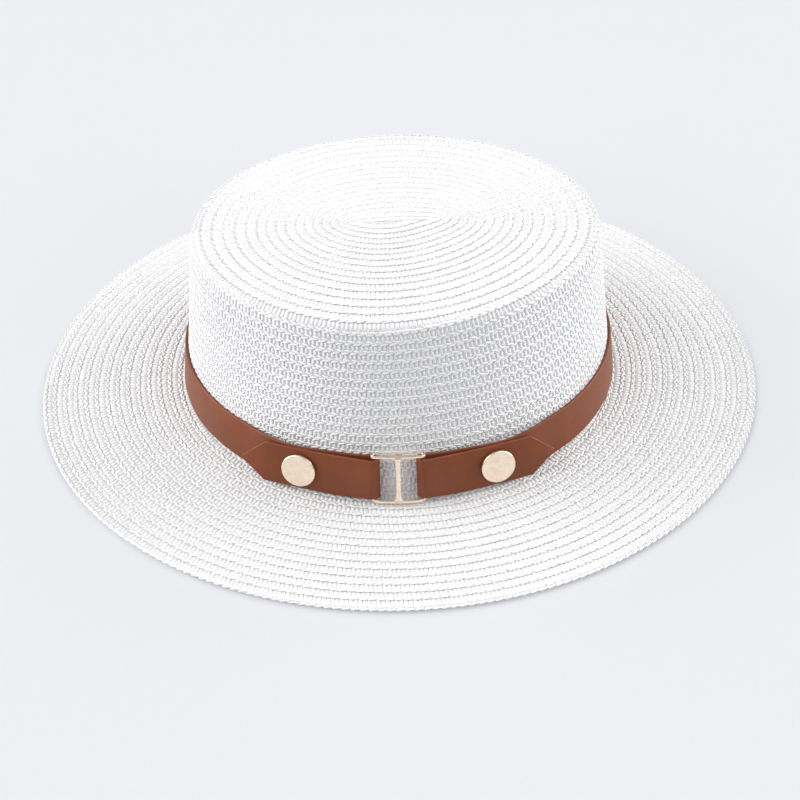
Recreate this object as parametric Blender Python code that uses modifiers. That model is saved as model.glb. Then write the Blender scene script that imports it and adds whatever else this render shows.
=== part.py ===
"""Straw boater hat: a hollow oval crown and a sloping brim of sewn straw braid, with a leather
band that folds back round a metal slide and is held by two round studs.

Metres, +Z up. The hat stands on the last row of its brim, centred on the origin, and its long
axis lies along X. The slide is on the -Y side."""

import bpy
import bmesh
import numpy as np
from mathutils import Matrix, Vector

# Straw
BRIM_LENGTH = 0.3300
BRIM_WIDTH = 0.3034
CROWN_LENGTH = 0.1948
CROWN_WIDTH = 0.1800
TIP_LENGTH = 0.1790
TIP_WIDTH = 0.1468
HAT_HEIGHT = 0.0872
STRAW = 0.0018
BRIM_RISE = 0.0076
FLAT_ROW = 0.0052
SHOULDER = 0.0042
TIP_DOME = 0.0010
RIM_EASE = 0.0005

# Leather
LEATHER = 0.0016
BAND_WIDTH = 0.0188
BAND_PLAY = 0.0004
FOLD_PLAY = 0.0010
STRAP_REACH = 0.0650
STRAP_POINT = 0.0088
POINT_WIDTH = 0.0012
STRAP_STAND = 0.0015
STAND_CENTRE = 0.0500
STAND_RUN = 0.0240

# Metal
SLIDE_OFFSET = -0.0037
SLIDE_LENGTH = 0.0230
SLIDE_DEPTH = 0.0024
WIRE = 0.0016
WIRE_BEND = 0.0010
CENTRE_BAR = 0.0018
STUD_REACH = 0.0413
STUD_DIAMETER = 0.0152
STUD_THICKNESS = 0.0017
STUD_EASE = 0.0004
POST_DIAMETER = 0.0034
FOOT_DIAMETER = 0.0066
FOOT_THICKNESS = 0.0005

# Clearance between touching pieces, and how finely the ovals are divided
GAP = 0.0003
OVAL_SIDES = 96
ROUND_SIDES = 28
BAND_STEP = 0.0062
STRAP_STEP = 0.0046
FOLD_STEPS = 8
BEND_STEPS = 4

# Top of the brim from the crown's foot to its flat last row: share of the way out, share of the rise
BRIM_LINE = (
    (0.00, 1.00),
    (0.12, 0.86),
    (0.40, 0.56),
    (0.70, 0.26),
    (1.00, 0.00),
)

# Centre bar from its lower to its upper end: share of the length, share of the diameter
BAR_LINE = (
    (0.00, 1.55),
    (0.06, 1.35),
    (0.14, 1.08),
    (0.25, 1.00),
    (0.75, 1.00),
    (0.86, 1.08),
    (0.94, 1.35),
    (1.00, 1.55),
)

TIP_RINGS = 4
SHOULDER_RINGS = 4
WALL_RINGS = 3

STRAW_WHITE = (0.88, 0.87, 0.84, 1.0)
SADDLE_BROWN = (0.24, 0.08, 0.045, 1.0)
PALE_GOLD = (0.87, 0.62, 0.45, 1.0)

# Values that follow from the sizes above
WALL_FOOT = BRIM_RISE + GAP
WALL_TOP = HAT_HEIGHT - TIP_DOME - SHOULDER
WIRE_RADIUS = WIRE / 2
FOLD_RADIUS = WIRE_RADIUS + FOLD_PLAY + LEATHER / 2
INNER_LAYER = BAND_PLAY + LEATHER / 2
SIDE_BAR_OUT = INNER_LAYER + FOLD_RADIUS
OUTER_LAYER = INNER_LAYER + LEATHER + GAP
SIDE_BAR_REACH = SLIDE_LENGTH / 2 - WIRE_RADIUS


def collection(name):
    """A new collection, linked to the scene."""
    group = bpy.data.collections.new(name)
    bpy.context.scene.collection.children.link(group)
    return group


def clear_scene():
    """Removes every object of the scene."""
    for item in list(bpy.data.objects):
        bpy.data.objects.remove(item, do_unlink=True)


def material(name, colour, roughness, metallic=0.0):
    """A Principled material of one colour."""
    made = bpy.data.materials.new(name)
    made.use_nodes = True
    shader = made.node_tree.nodes["Principled BSDF"]
    shader.inputs["Base Color"].default_value = colour
    shader.inputs["Roughness"].default_value = roughness
    shader.inputs["Metallic"].default_value = metallic
    return made


def add_object(name, mesh, group, finish=None):
    """An object of the mesh in the group, smooth but for its sharp edges."""
    item = bpy.data.objects.new(name, mesh)
    group.objects.link(item)
    if finish:
        mesh.materials.append(finish)
    mesh.shade_smooth()
    mesh.set_sharp_from_angle(angle=np.radians(35))
    return item


def wall_axes(height):
    """Half length and half width of the crown's outer wall at a height."""
    share = (height - WALL_FOOT) / (WALL_TOP - WALL_FOOT)
    half_length = CROWN_LENGTH + (TIP_LENGTH - CROWN_LENGTH) * share
    half_width = CROWN_WIDTH + (TIP_WIDTH - CROWN_WIDTH) * share
    return half_length / 2, half_width / 2


def brim_breadth():
    """Half length and half width that the sloping part of the brim adds to its inner edge."""
    inner = Vector((CROWN_LENGTH / 2 - STRAW, CROWN_WIDTH / 2 - STRAW))
    outer = Vector((BRIM_LENGTH / 2 - FLAT_ROW, BRIM_WIDTH / 2 - FLAT_ROW))
    return inner, outer - inner


def brim_top(distance):
    """Height of the brim's upper side at a distance out from the crown's foot on the front."""
    breadth = brim_breadth()[1].y
    shares, rises = zip(*BRIM_LINE)
    rise = np.interp((distance + STRAW) / breadth, shares, rises)
    return STRAW + (BRIM_RISE - STRAW) * rise


def wall_point(angle, height, out):
    """The point at an angle of the oval and a height, moved out along the wall's normal."""
    half_length, half_width = wall_axes(height)
    top_length, top_width = wall_axes(height + GAP)
    along = Vector((-half_length * np.sin(angle), half_width * np.cos(angle), 0))
    rise = Vector(((top_length - half_length) * np.cos(angle),
                   (top_width - half_width) * np.sin(angle), GAP))
    point = Vector((half_length * np.cos(angle), half_width * np.sin(angle), height))
    return point + along.cross(rise).normalized() * out


def band_floor():
    """Height of the band's lower edge, so that the slide under it clears the brim."""
    lift = wall_point(-np.pi / 2, WALL_FOOT, SIDE_BAR_OUT).z - WALL_FOOT
    return brim_top(SIDE_BAR_OUT - WIRE_RADIUS) + 2 * GAP + WIRE - lift


BAND_FLOOR = band_floor()
BAND_TOP = BAND_FLOOR + BAND_WIDTH
BAND_MIDDLE = (BAND_FLOOR + BAND_TOP) / 2


def arc_table():
    """Distance round the crown at the band's middle, from the back, against the oval's angle."""
    angles = np.linspace(-1.5 * np.pi, 0.5 * np.pi, 1441)
    half_length, half_width = wall_axes(BAND_MIDDLE)
    x = half_length * np.cos(angles)
    y = half_width * np.sin(angles)
    steps = np.hypot(np.diff(x), np.diff(y))
    return angles, np.concatenate(([0.0], np.cumsum(steps)))


ANGLES, ARCS = arc_table()
GIRTH = ARCS[-1]


def on_wall(distance, height, out):
    """The point at a distance round from the slide's middle, a height and an offset from the wall."""
    place = (distance + SLIDE_OFFSET + GIRTH / 2) % GIRTH
    return wall_point(np.interp(place, ARCS, ANGLES), height, out)


def loft(name, rings, closed):
    """A mesh through oval rings (half length, half width, height); one of no size is a pole."""
    shell = bmesh.new()
    angles = np.arange(OVAL_SIDES) * 2 * np.pi / OVAL_SIDES
    loops = []
    for half_length, half_width, height in rings:
        if half_length == 0:
            loops.append([shell.verts.new((0, 0, height))] * OVAL_SIDES)
        else:
            places = zip(half_length * np.cos(angles), half_width * np.sin(angles))
            loops.append([shell.verts.new((x, y, height)) for x, y in places])
    pairs = list(zip(loops, loops[1:]))
    if closed:
        pairs.append((loops[-1], loops[0]))
    for upper, lower in pairs:
        for k in range(OVAL_SIDES):
            after = (k + 1) % OVAL_SIDES
            corners = [upper[k], lower[k], lower[after], upper[after]]
            shell.faces.new(list(dict.fromkeys(corners)))
    mesh = bpy.data.meshes.new(name)
    shell.to_mesh(mesh)
    shell.free()
    return mesh


def crown_side(inset):
    """The crown's rings from its pole down to its foot, set in from the outer face by an inset."""
    rings = []
    flat_length = TIP_LENGTH / 2 - SHOULDER
    flat_width = TIP_WIDTH / 2 - SHOULDER
    for k in range(TIP_RINGS):
        share = k / TIP_RINGS
        dome = TIP_DOME * (1 - share ** 2)
        rings.append((flat_length * share, flat_width * share, HAT_HEIGHT - TIP_DOME + dome - inset))
    radius = SHOULDER - inset
    for k in range(SHOULDER_RINGS + 1):
        turn = np.pi / 2 * k / SHOULDER_RINGS
        out = radius * np.sin(turn)
        top = WALL_TOP + radius * np.cos(turn)
        rings.append((flat_length + out, flat_width + out, top))
    for k in range(1, WALL_RINGS + 1):
        height = WALL_TOP + (WALL_FOOT - WALL_TOP) * k / WALL_RINGS
        half_length, half_width = wall_axes(height)
        rings.append((half_length - inset, half_width - inset, height))
    return rings


def make_crown(group, finish):
    """The crown: its outer face from the pole down, then its inner face back up."""
    mesh = loft("crown", crown_side(0.0) + crown_side(STRAW)[::-1], closed=False)
    return add_object("crown", mesh, group, finish)


def make_brim(group, finish):
    """The brim: its upper side outwards, the eased rim, then its under side back in."""
    inner, breadth = brim_breadth()
    line = [(inner.x + breadth.x * share, inner.y + breadth.y * share, (BRIM_RISE - STRAW) * rise)
            for share, rise in BRIM_LINE]
    upper = [(x, y, z + STRAW) for x, y, z in line]
    rim_length, rim_width = BRIM_LENGTH / 2, BRIM_WIDTH / 2
    rim = [
        (rim_length - RIM_EASE, rim_width - RIM_EASE, STRAW),
        (rim_length, rim_width, STRAW - RIM_EASE),
        (rim_length, rim_width, RIM_EASE),
        (rim_length - RIM_EASE, rim_width - RIM_EASE, 0.0),
    ]
    mesh = loft("brim", upper + rim + line[::-1], closed=True)
    return add_object("brim", mesh, group, finish)


def stand(distance):
    """How far the inner layer stands off the wall at a distance either way from the slide: up to
    the studs' stiff double layer and back down in one swell."""
    def swell(place):
        return 0.5 + 0.5 * np.cos(np.pi * np.clip((place - STAND_CENTRE) / STAND_RUN, -1, 1))
    return STRAP_STAND * swell(min(distance, GIRTH - distance)) / swell(STUD_REACH)


def layer_out(side, distance):
    """Offset of the outer layer, which runs straight from the fold past the stud to its point."""
    fold = on_wall(side * SIDE_BAR_REACH, BAND_MIDDLE, SIDE_BAR_OUT + FOLD_RADIUS).xy
    ahead = on_wall(side * STUD_REACH, BAND_MIDDLE, OUTER_LAYER + STRAP_STAND).xy - fold
    foot = on_wall(side * distance, BAND_MIDDLE, 0).xy
    normal = on_wall(side * distance, BAND_MIDDLE, 1).xy - foot
    return (fold - foot).cross(ahead) / normal.cross(ahead)


def strap_end(side):
    """One end from its point to the fold: signed distance, offset and share of the full width."""
    corner = STRAP_REACH - STRAP_POINT
    count = int(np.ceil((corner - SIDE_BAR_REACH) / STRAP_STEP))
    run = [(side * STRAP_REACH, layer_out(side, STRAP_REACH), POINT_WIDTH / BAND_WIDTH)]
    for distance in np.linspace(corner, SIDE_BAR_REACH, count + 1):
        run.append((side * distance, layer_out(side, distance), 1.0))
    for k in range(1, FOLD_STEPS + 1):
        turn = np.pi * k / FOLD_STEPS
        distance = SIDE_BAR_REACH - FOLD_RADIUS * np.sin(turn)
        run.append((side * distance, SIDE_BAR_OUT + FOLD_RADIUS * np.cos(turn), 1.0))
    return run


def make_band(group, finish):
    """The band: a strip of two edge points for each station, thickened both ways."""
    right, left = strap_end(1), strap_end(-1)[::-1]
    count = int(np.ceil((GIRTH - 2 * SIDE_BAR_REACH) / BAND_STEP))
    back = np.linspace(SIDE_BAR_REACH, GIRTH - SIDE_BAR_REACH, count + 1)[1:-1]
    stations = right + [(place, INNER_LAYER + stand(place), 1.0) for place in back] + left
    strip = bmesh.new()
    edges = []
    for distance, out, share in stations:
        half = BAND_WIDTH / 2 * share
        lower = strip.verts.new(on_wall(distance, BAND_MIDDLE - half, out))
        upper = strip.verts.new(on_wall(distance, BAND_MIDDLE + half, out))
        edges.append((lower, upper))
    for (low_a, top_a), (low_b, top_b) in zip(edges, edges[1:]):
        strip.faces.new((low_a, low_b, top_b, top_a))
    mesh = bpy.data.meshes.new("band")
    strip.to_mesh(mesh)
    strip.free()
    band = add_object("band", mesh, group, finish)
    thick = band.modifiers.new("thickness", "SOLIDIFY")
    thick.thickness = LEATHER
    thick.offset = 0.0
    thick.use_even_offset = True
    return band


def rounded(corners, radius, steps):
    """A closed path through the corners with each one replaced by an arc."""
    path = []
    count = len(corners)
    for k, corner in enumerate(corners):
        here = Vector(corner)
        before = (Vector(corners[k - 1]) - here).normalized()
        after = (Vector(corners[(k + 1) % count]) - here).normalized()
        centre = here + (before + after) * radius
        for step in range(steps + 1):
            turn = np.pi / 2 * step / steps
            path.append(centre - after * radius * np.cos(turn) - before * radius * np.sin(turn))
    return path


def tube(name, points, radius, group, cyclic=False, shares=None):
    """A round wire along the points, made a closed mesh."""
    curve = bpy.data.curves.new(name, "CURVE")
    curve.dimensions = "3D"
    curve.bevel_depth = radius
    curve.bevel_resolution = 2
    curve.use_fill_caps = not cyclic
    spline = curve.splines.new("POLY")
    spline.points.add(len(points) - 1)
    for k, point in enumerate(points):
        spline.points[k].co = (*point, 1.0)
        spline.points[k].radius = shares[k] if shares else 1.0
    spline.use_cyclic_u = cyclic
    wire = bpy.data.objects.new(name + "_wire", curve)
    group.objects.link(wire)
    graph = bpy.context.evaluated_depsgraph_get()
    mesh = bpy.data.meshes.new_from_object(wire.evaluated_get(graph))
    bpy.data.objects.remove(wire, do_unlink=True)
    solid = bmesh.new()
    solid.from_mesh(mesh)
    bmesh.ops.remove_doubles(solid, verts=solid.verts, dist=1e-6)
    bmesh.ops.recalc_face_normals(solid, faces=solid.faces)
    solid.to_mesh(mesh)
    solid.free()
    mesh.name = name
    return mesh


def make_buckle(group, cutters, finish):
    """The slide: a wire frame whose upper and lower runs stand forward, and its centre bar."""
    front = SIDE_BAR_OUT + SLIDE_DEPTH
    low = BAND_FLOOR - GAP - WIRE_RADIUS
    high = BAND_TOP + GAP + WIRE_RADIUS
    reach = SIDE_BAR_REACH
    corners = [
        (-reach, low, SIDE_BAR_OUT),
        (-reach, high, SIDE_BAR_OUT),
        (-reach, high, front),
        (reach, high, front),
        (reach, high, SIDE_BAR_OUT),
        (reach, low, SIDE_BAR_OUT),
        (reach, low, front),
        (-reach, low, front),
    ]
    path = [on_wall(*place) for place in rounded(corners, WIRE_BEND, BEND_STEPS)]
    frame = add_object("buckle", tube("buckle", path, WIRE_RADIUS, group, True), group, finish)
    bar = [on_wall(0, low + (high - low) * share, front) for share, _ in BAR_LINE]
    widths = [width for _, width in BAR_LINE]
    centre = add_object("centre_bar", tube("centre_bar", bar, CENTRE_BAR / 2, group, shares=widths),
                        cutters)
    hide_guide(centre)
    join = frame.modifiers.new("centre bar", "BOOLEAN")
    join.operation = "UNION"
    join.solver = "EXACT"
    join.object = centre
    return frame


def hide_guide(item):
    """Marks an object as a cutter or guide."""
    item.hide_render = True
    item.display_type = "WIRE"


def turned(name, profile, group, finish=None):
    """A turned piece: its profile runs down its outer side and turns round its own Z axis."""
    mesh = bpy.data.meshes.new(name)
    points = [(radius, 0.0, height) for radius, height in profile]
    mesh.from_pydata(points, [(k, k + 1) for k in range(len(points) - 1)], [])
    item = add_object(name, mesh, group, finish)
    screw = item.modifiers.new("turn", "SCREW")
    screw.angle = 2 * np.pi
    screw.steps = ROUND_SIDES
    screw.render_steps = ROUND_SIDES
    screw.use_merge_vertices = True
    screw.merge_threshold = 1e-5
    screw.use_smooth_shade = True
    return item


def stud_frame(side):
    """The place of a stud: its origin in the middle of the outer layer, and its Z axis square to it."""
    middle = on_wall(side * STUD_REACH, BAND_MIDDLE, layer_out(side, STUD_REACH))
    ahead = on_wall(side * STRAP_REACH, BAND_MIDDLE, layer_out(side, STRAP_REACH)) - middle
    upper = on_wall(side * STUD_REACH, BAND_TOP, layer_out(side, STUD_REACH)) - middle
    normal = (ahead * side).cross(upper).normalized()
    along = upper.cross(normal).normalized()
    return Matrix.LocRotScale(middle, Matrix((along, normal.cross(along), normal)).transposed(), None)


def make_stud(name, side, group, cutters, finish, band):
    """A stud: an eased head, a post through both layers and a foot let into the inner one."""
    head_foot = LEATHER / 2 + GAP
    head_top = head_foot + STUD_THICKNESS
    head, post, foot = STUD_DIAMETER / 2, POST_DIAMETER / 2, FOOT_DIAMETER / 2
    foot_end = -1.5 * LEATHER - GAP
    foot_top = foot_end + FOOT_THICKNESS
    profile = [
        (0.0, head_top),
        (head - 2 * STUD_EASE, head_top - STUD_EASE / 4),
        (head - STUD_EASE / 2, head_top - STUD_EASE),
        (head, head_top - 2 * STUD_EASE),
        (head, head_foot + STUD_EASE / 2),
        (head - STUD_EASE / 2, head_foot),
        (post, head_foot),
        (post, foot_top),
        (foot, foot_top),
        (foot, foot_end),
        (0.0, foot_end),
    ]
    stud = turned(name, profile, group, finish)
    stud.matrix_world = stud_frame(side)
    bore = [
        (0.0, head_top),
        (post + GAP, head_top),
        (post + GAP, foot_top + GAP),
        (foot + GAP, foot_top + GAP),
        (foot + GAP, foot_end - LEATHER),
        (0.0, foot_end - LEATHER),
    ]
    cutter = turned(name + "_bore", bore, cutters)
    cutter.matrix_world = stud_frame(side)
    hide_guide(cutter)
    cut = band.modifiers.new(name + " bore", "BOOLEAN")
    cut.operation = "DIFFERENCE"
    cut.solver = "EXACT"
    cut.object = cutter
    return stud


def main():
    """Builds the hat under one empty."""
    clear_scene()
    group = collection("boater_hat")
    cutters = collection("cutters")
    straw = material("straw", STRAW_WHITE, 0.75)
    leather = material("leather", SADDLE_BROWN, 0.5)
    gold = material("gold_plate", PALE_GOLD, 0.3, 1.0)
    hat = bpy.data.objects.new("boater_hat", None)
    group.objects.link(hat)
    band = make_band(group, leather)
    pieces = [
        make_crown(group, straw),
        make_brim(group, straw),
        band,
        make_buckle(group, cutters, gold),
        make_stud("stud_left", -1, group, cutters, gold, band),
        make_stud("stud_right", 1, group, cutters, gold, band),
    ]
    for piece in pieces:
        piece.parent = hat


main()
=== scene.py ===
"""Straw boater hat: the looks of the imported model, as an add-on that is run as a script.

Everything is in metres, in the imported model's own frame: the hat stands on Z = 0, its long axis
lies along X and its slide faces -Y. The braid is one spiral. A place on it is an angle round the
oval and a row number, which grows outward, and the tables below say where each row runs."""

import bmesh
import bpy
import numpy as np
from bpy.props import FloatProperty, FloatVectorProperty, PointerProperty
from mathutils import Matrix, Vector


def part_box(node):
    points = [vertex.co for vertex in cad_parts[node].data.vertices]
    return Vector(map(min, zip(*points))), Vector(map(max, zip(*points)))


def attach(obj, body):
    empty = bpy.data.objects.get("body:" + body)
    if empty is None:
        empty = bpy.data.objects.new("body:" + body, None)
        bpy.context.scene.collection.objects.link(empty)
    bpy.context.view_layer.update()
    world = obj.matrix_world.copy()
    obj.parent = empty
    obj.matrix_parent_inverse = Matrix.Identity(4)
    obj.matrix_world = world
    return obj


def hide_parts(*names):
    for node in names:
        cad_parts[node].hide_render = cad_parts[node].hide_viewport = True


bl_info = {
    "name": "Straw Boater Hat",
    "version": (1, 0, 0),
    "blender": (4, 5, 0),
    "location": "3D View > Sidebar > Boater",
    "description": "Dresses the solid model of a straw boater in braid, leather and metal",
    "category": "Add Mesh",
}

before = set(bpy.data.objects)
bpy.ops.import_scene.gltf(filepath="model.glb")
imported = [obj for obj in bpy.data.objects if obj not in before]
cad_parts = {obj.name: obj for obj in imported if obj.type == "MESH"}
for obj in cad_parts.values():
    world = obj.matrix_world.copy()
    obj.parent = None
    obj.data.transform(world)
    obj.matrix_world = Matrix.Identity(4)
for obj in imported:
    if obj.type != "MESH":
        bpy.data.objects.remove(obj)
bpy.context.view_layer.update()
CROWN_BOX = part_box("crown")
BRIM_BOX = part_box("brim")

PI = np.pi
MM = 0.001

# The straw shell, as the solids have it
BRIM_A, BRIM_B = BRIM_BOX[1][0], BRIM_BOX[1][1]
FOOT_A, FOOT_B = CROWN_BOX[1][0], CROWN_BOX[1][1]
TOP = CROWN_BOX[1][2]
TIP_A, TIP_B = 0.0895, 0.0734
SHOULDER = 0.0042
DOME = 0.0010
STRAW = 0.0018
RISE = BRIM_BOX[1][2]
FOOT_Z = CROWN_BOX[0][2]
WALL_TOP = TOP - DOME - SHOULDER
FLAT_ROW = 0.0052
CENTRE_LINE = 0.0165
BRIM_LINE = ((0.00, 1.00), (0.12, 0.86), (0.40, 0.56), (0.70, 0.26), (1.00, 0.00))

# Rows counted along the front, from the middle of the tip: place on the profile, row number.
# Tip places are millimetres out, wall places millimetres below the tip's edge.
TIP_ROWS = ((0.0, 0.55), (1.8, 1.0), (24.5, 7.0), (45.6, 12.0), (70.6, 17.0))
WALL_ROWS = ((4.9, 18.0), (25.9, 23.0), (55.5, 30.0))
RIM_ROW = 50.0
# Rows on the brim, which sway twice round the hat, and rows and parts of a row in the row map
BRIM_ROWS, BRIM_ROWS_SWAY = 14.75, 0.75
ROWS, ROW_PARTS = 52, 10
DEGREES = np.arange(-180, 181)
ANGLES = np.radians(DEGREES)

# How the spiral drifts round the hat, in rows: degrees, on the tip, half-way down the wall,
# low on the wall, and rows that show outside row fifty at the rim. Each gains one row a turn.
DRIFT = (
    (-180, 0.36, -0.20, -0.30, 0.88),
    (-150, 0.30, -0.28, -0.35, 1.00),
    (-120, -0.08, -0.27, -0.20, 1.15),
    (-105, -0.16, -0.17, -0.10, 1.28),
    (-92, 0.00, 0.00, 0.00, 1.38),
    (-75, 0.43, 0.31, 0.17, 1.38),
    (-60, 0.90, 0.57, 0.28, 1.38),
    (-45, 1.18, 0.71, 0.48, 1.39),
    (-30, 1.36, 0.80, 0.60, 1.40),
    (0, 1.36, 0.80, 0.68, 1.42),
    (60, 1.36, 0.80, 0.70, 1.55),
    (120, 1.36, 0.80, 0.70, 1.72),
    (180, 1.36, 0.80, 0.70, 1.88),
)

# Cross-section of one row in shares of its width, and its height over the shell in millimetres
ROW_RELIEF = ((0.00, -0.46), (0.20, -0.46), (0.48, -0.34), (0.62, 0.08), (0.90, 0.12),
              (1.00, -0.46))
UNDER_RELIEF = ((0.00, -0.30), (0.25, -0.25), (0.60, -0.20), (0.75, 0.10), (0.88, 0.10),
                (1.00, -0.30))
# How deep the hollows of a row lie on tip, wall and brim: row number, factor on the relief
ROW_DEPTH = ((16, 0.50), (19, 1.15), (32, 1.15), (35, 0.50))
# Share of a row that its plaited ridge takes, how far the sheet stays inside the rim, how deep it
# starts at the middle and ends at the rim, and how far its underside rises toward the rim
RIDGE_SHARE = 0.40
RIM_INSET = 0.0004
MIDDLE_DIP = 0.0004
RIM_DIP = 0.0003
RIM_RISE, RIM_RISE_RUN = 0.0010, 0.0045

# The leather strap, the slide and the studs, as the solids have them
LEATHER = 0.0016
BAND_WIDTH = 0.0188
BAND_PLAY = 0.0004
STRAP_REACH = 0.0650
STRAP_POINT = 0.0088
STRAP_STAND = 0.0015
STAND_CENTRE = 0.0500
STAND_RUN = 0.0240
SLIDE_OFFSET = -0.0037
SLIDE_LENGTH = 0.0230
SLIDE_DEPTH = 0.0024
WIRE = 0.0016
FOLD_RADIUS = WIRE / 2 + 0.0010 + LEATHER / 2
GAP = 0.0003
INNER_LAYER = BAND_PLAY + LEATHER / 2
OUTER_LAYER = INNER_LAYER + LEATHER + GAP
SIDE_BAR_OUT = INNER_LAYER + FOLD_RADIUS
SIDE_BAR_REACH = SLIDE_LENGTH / 2 - WIRE / 2
STUD_REACH = 0.0413
STUD_DIAMETER = 0.0152
STUD_THICKNESS = 0.0017

# What the looks add to the solids: the slide sits a little higher, the strap is drawn a little
# thinner with eased edges, its upper edge is pinched near the folds and its points are blunt
SLIDE_RAISE = 0.0007
DRAWN_LEATHER = 0.0013
EDGE_EASE = 0.0004
FOLD_PINCH, PINCH_RUN = 0.09, 0.014
POINT_BLUNT = 0.064
# Bars of the slide: half width, half depth and, for the two front ones, the bend at their corners
TOP_BAR = (0.00056, 0.00042, 0.0011)
FOOT_BAR = (0.00075, 0.00050, 0.0030)
SIDE_BAR = (0.0006, 0.0006)
BACK_BAR = (0.0003, 0.0003)
CENTRE_BAR = (0.00100, 0.00042)
# Stud: radius of its rounded edge, rise of its domed face, depth of the hammering, post's radius
STUD_EDGE = 0.0006
STUD_DOME = 0.00015
HAMMER_DEPTH = 0.00006
POST_RADIUS = 0.0017
FACE_RINGS, STUD_SIDES = 26, 96

# Centre bar of the slide from end to end: share of its length, share of its middle width
BAR_LINE = ((0.00, 2.10), (0.03, 1.70), (0.07, 1.30), (0.14, 1.08), (0.25, 1.00),
            (0.75, 1.00), (0.86, 1.08), (0.93, 1.30), (0.97, 1.70), (1.00, 2.10))

# Strength of the white sky and of the floor's own glow
SKY = 0.26
FLOOR_GLOW = 0.15
# The studio's broad lights: name, degrees round from the front toward the right, degrees up,
# width in degrees, strength
SUNS = (
    ("top", 0, 88, 60, 0.04),
    ("left", -90, 40, 45, 0.95),
    ("left_back", -135, 40, 45, 0.40),
    ("right_back", 135, 40, 45, 0.50),
    ("right", 90, 40, 45, 0.36),
    ("right_front", 45, 40, 45, 0.57),
    ("left_front", -45, 40, 45, 0.60),
    ("low_left", -100, 15, 40, 2.20),
    ("low_right", 100, 15, 40, 2.60),
)
# Lights that are flagged off the floor, so that the hat throws no long shadows along it
FLAGGED = ("low_left", "low_right")
FLOOR_REACH = 6.0
FLOOR_DROP = 0.0001

# The camera, fitted to the photograph: degrees up, to the left and rolled, distance from the
# frame's origin, picture side and the origin's place in it in pixels, pixels a metre at the origin
CAMERA_UP, CAMERA_TURN, CAMERA_ROLL = 39.85, 1.51, -1.53
CAMERA_DISTANCE = 0.8628
PICTURE_SIDE = 800
PICTURE_ORIGIN = (399.02, 373.6)
PIXELS_A_METRE = 2138.5
SENSOR = 36.0


# ---- colour and nodes


def linear(code):
    """Linear colour of an sRGB hex code."""
    value = np.array([int(code[k:k + 2], 16) for k in (0, 2, 4)]) / 255
    value = np.where(value <= 0.04045, value / 12.92, ((value + 0.055) / 1.055) ** 2.4)
    return tuple(float(x) for x in value) + (1.0,)


def connect(tree, target, links, values):
    """Gives a node's inputs, by name or place, their values and the outputs they are linked to."""
    for socket, value in (values or {}).items():
        target.inputs[socket].default_value = value
    for socket, source in (links or {}).items():
        tree.links.new(source, target.inputs[socket])


def node(tree, kind, links=None, values=None, stops=(), output=0, **settings):
    """Adds one shader node and returns one of its outputs: settings are its own, values and links go
    to its inputs, and stops are the places and colours of a colour ramp."""
    made = tree.nodes.new("ShaderNode" + kind)
    for name, value in settings.items():
        setattr(made, name, value)
    for number, (place, colour) in enumerate(stops):
        elements = made.color_ramp.elements
        element = elements[number] if number < 2 else elements.new(place)
        element.position = place
        element.color = colour
    connect(tree, made, links, values)
    return made.outputs[output]


def blank_material(name):
    """A new material, its node tree and its Principled shader."""
    made = bpy.data.materials.new(name)
    made.use_nodes = True
    tree = made.node_tree
    return made, tree, tree.nodes["Principled BSDF"]


def tinted(colour, factor):
    """A user's colour made a little darker or lighter, as a shader colour."""
    return tuple(min(channel * factor, 1.0) for channel in colour) + (1.0,)


def tones(colour, *steps):
    """Stops of a colour ramp from (place, factor on the colour) pairs."""
    return [(place, tinted(colour, factor)) for place, factor in steps]


# ---- the hat's surface


def running(path):
    """Length along a path, or along each of several, from its first point to each of its points."""
    steps = np.linalg.norm(np.diff(path, axis=0), axis=-1)
    return np.concatenate([0 * steps[:1], np.cumsum(steps, axis=0)])


def profile_table():
    """The hat's outer face from the middle of its tip to its rim, every quarter of a millimetre
    along the front: half length, half width, height. The tip is a low dome, the shoulder a quarter
    circle, the wall straight and the brim a shallow curve. A running mean rounds the corners."""
    flat_a, flat_b = TIP_A - SHOULDER, TIP_B - SHOULDER
    out = np.linspace(0, 1, 80)
    tip = np.stack([CENTRE_LINE + (flat_a - CENTRE_LINE) * out, flat_b * out,
                    TOP - DOME * out ** 2], 1)
    turn = np.linspace(0, PI / 2, 20)[1:]
    shoulder = np.stack([flat_a + SHOULDER * np.sin(turn), flat_b + SHOULDER * np.sin(turn),
                         WALL_TOP + SHOULDER * np.cos(turn)], 1)
    down = np.linspace(0, 1, 80)[1:]
    wall_start, wall_end = np.array([(TIP_A, TIP_B, WALL_TOP), (FOOT_A, FOOT_B, RISE)])
    wall = wall_start + (wall_end - wall_start) * down[:, None]
    flat_start = 1 - FLAT_ROW / (BRIM_B - FOOT_B)
    rise = np.interp(down / flat_start, *zip(*BRIM_LINE))
    brim = np.stack([FOOT_A + (BRIM_A - FOOT_A) * down, FOOT_B + (BRIM_B - FOOT_B) * down,
                     STRAW + (RISE - STRAW) * rise], 1)
    path = np.concatenate([tip, shoulder, wall, brim])
    length = running(path[:, 1:])
    places = np.linspace(0, length[-1], int(length[-1] / 0.00025))
    fine = np.stack([np.interp(places, length, path[:, k]) for k in range(3)], 1)
    reach = 5
    padded = np.concatenate([2 * fine[0] - fine[reach:0:-1], fine,
                             2 * fine[-1] - fine[-2:-reach - 2:-1]])
    kernel = np.ones(2 * reach + 1) / (2 * reach + 1)
    smooth = np.stack([np.convolve(padded[:, k], kernel, "valid") for k in range(3)], 1)
    return places, smooth, np.gradient(smooth, places, axis=0)


PLACES, PROFILE, SLOPE = profile_table()
RIM_PLACE = PLACES[-1]


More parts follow.
